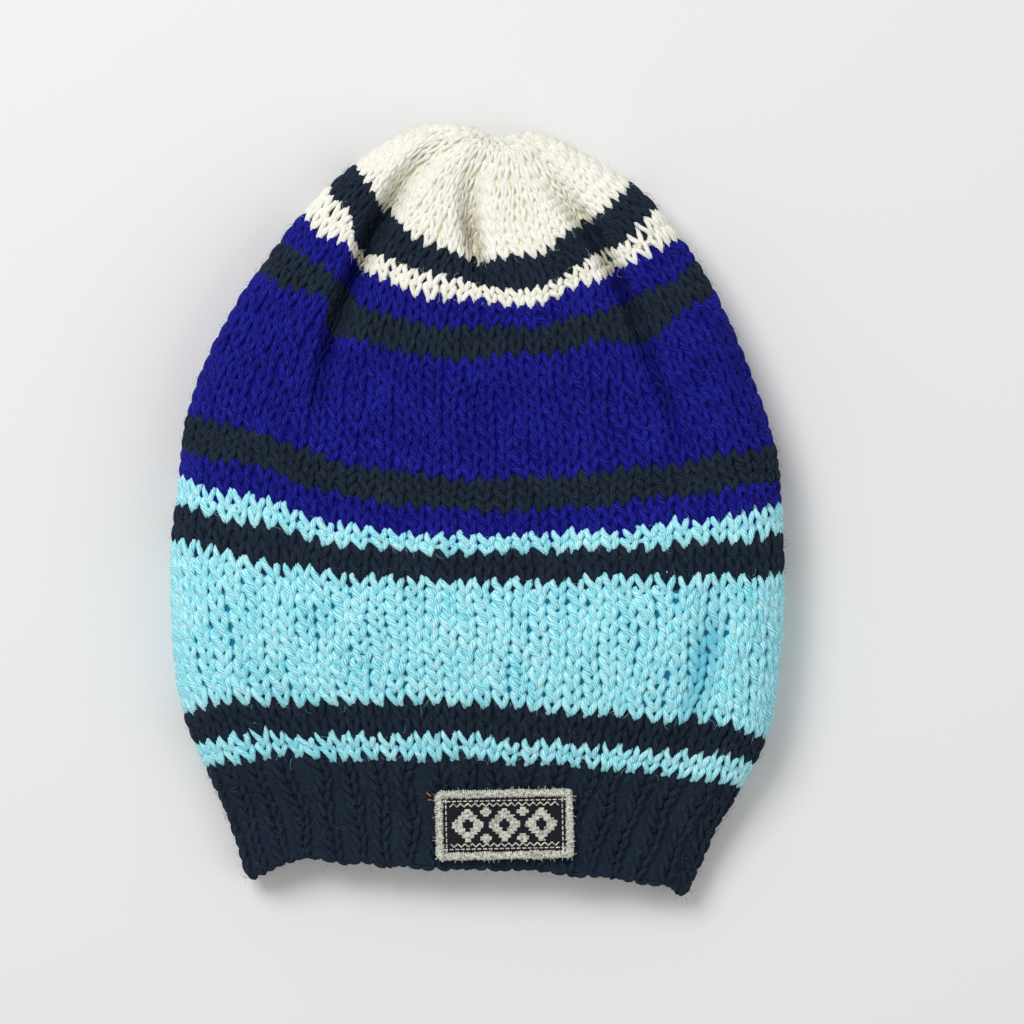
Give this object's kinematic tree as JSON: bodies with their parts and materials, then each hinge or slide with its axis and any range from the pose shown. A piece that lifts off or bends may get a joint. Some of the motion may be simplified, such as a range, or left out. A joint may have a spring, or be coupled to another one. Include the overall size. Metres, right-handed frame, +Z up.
{
  "type": "knitted chullo hat",
  "caption": "Striped knitted hat with a gathered top, a ribbed band at the hem and an embroidered label, lying on its back.",
  "frame": {"origin": "on the table, under the middle of the hat as it lies on its back", "axes": "+Z up from the table, so that the front of the hat looks up; +Y from the hem to the gathered top; +X across the hat"},
  "size_m": [0.2221, 0.2775, 0.0421],
  "materials": {
    "black_yarn": "soft fuzzy black acrylic yarn with a blue cast",
    "royal_yarn": "soft plied royal blue acrylic yarn",
    "light_blue_yarn": "soft plied light blue acrylic yarn",
    "white_yarn": "soft plied off-white acrylic yarn",
    "label_ground": "dense black woven ground",
    "label_thread": "slightly shiny silver-cream embroidery thread"
  },
  "bodies": {
    "root": {"crown": "royal_yarn", "rib_band": "black_yarn", "label_ground": "label_ground", "label_border": "label_thread"}
  },
  "joints": []
}
